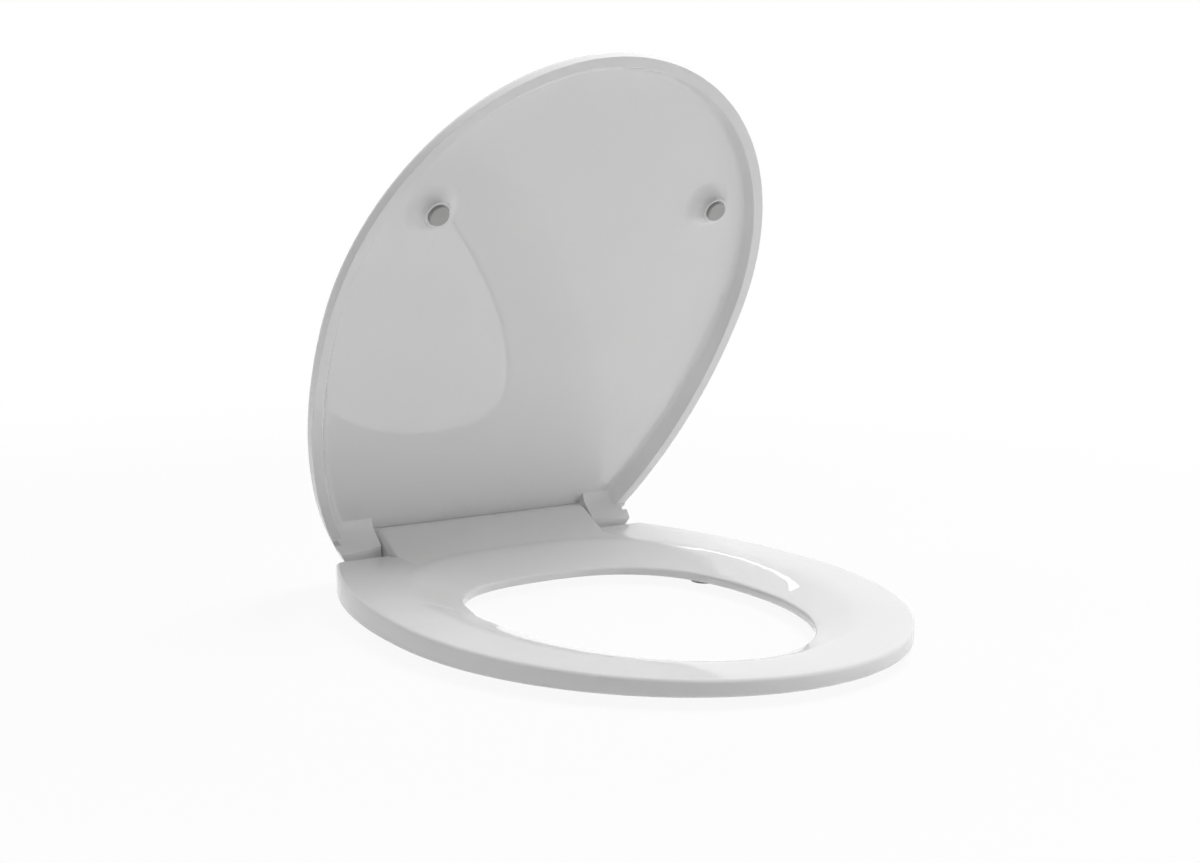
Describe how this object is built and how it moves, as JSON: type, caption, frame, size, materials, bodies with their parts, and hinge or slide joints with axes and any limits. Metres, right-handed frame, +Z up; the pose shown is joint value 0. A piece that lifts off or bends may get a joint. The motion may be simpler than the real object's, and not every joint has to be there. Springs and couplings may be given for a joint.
{
  "type": "toilet seat",
  "caption": "Slim oval toilet seat with a hinged lid, moulded hinge block, soft-close damper hinges on fixing pillars and rubber buffers.",
  "frame": {"origin": "on the rim of the pan, midway between the two fixing holes", "axes": "+X along the hinge axis to the user's left when seated, +Y towards the wall, +Z up"},
  "size_m": [0.372, 0.431, 0.4025],
  "materials": {
    "white_duroplast": "polished moulded white",
    "grey_buffer": "matt moulded grey",
    "white_nylon": "matt moulded white",
    "steel": "satin stainless steel",
    "clear_gasket": "soft translucent grey"
  },
  "bodies": {
    "hinge_base": {"base_gasket_left": "clear_gasket", "base_gasket_right": "clear_gasket", "base_disc_left": "steel", "base_disc_right": "steel", "hinge_pillar_left": "steel", "hinge_pillar_right": "steel", "damper_body_left": "white_nylon", "damper_body_right": "white_nylon", "damper_cap_left": "white_nylon", "damper_cap_right": "white_nylon"},
    "seat": {"seat_ring": "white_duroplast", "seat_buffer_front_left": "grey_buffer", "seat_buffer_front_right": "grey_buffer", "seat_buffer_rear_left": "grey_buffer", "seat_buffer_rear_right": "grey_buffer", "seat_bush_left": "white_nylon", "hinge_pin_right": "steel", "seat_bush_right": "white_nylon"},
    "lid": {"lid": "white_duroplast", "lid_buffer_left": "grey_buffer", "lid_buffer_right": "grey_buffer", "lug_bush_left": "white_nylon", "lug_bush_right": "white_nylon", "hinge_pin_left": "steel"}
  },
  "joints": [
    {"name": "seat_hinge", "type": "hinge", "parent": "hinge_base", "child": "seat", "pos_m": [0, 0.004, 0.03109], "axis": [-1, 0, 0], "range_deg": [0, 95]},
    {"name": "lid_hinge", "type": "hinge", "parent": "seat", "child": "lid", "pos_m": [0, 0.004, 0.03109], "axis": [-1, 0, 0], "range_deg": [-63.6, 36.4]}
  ]
}
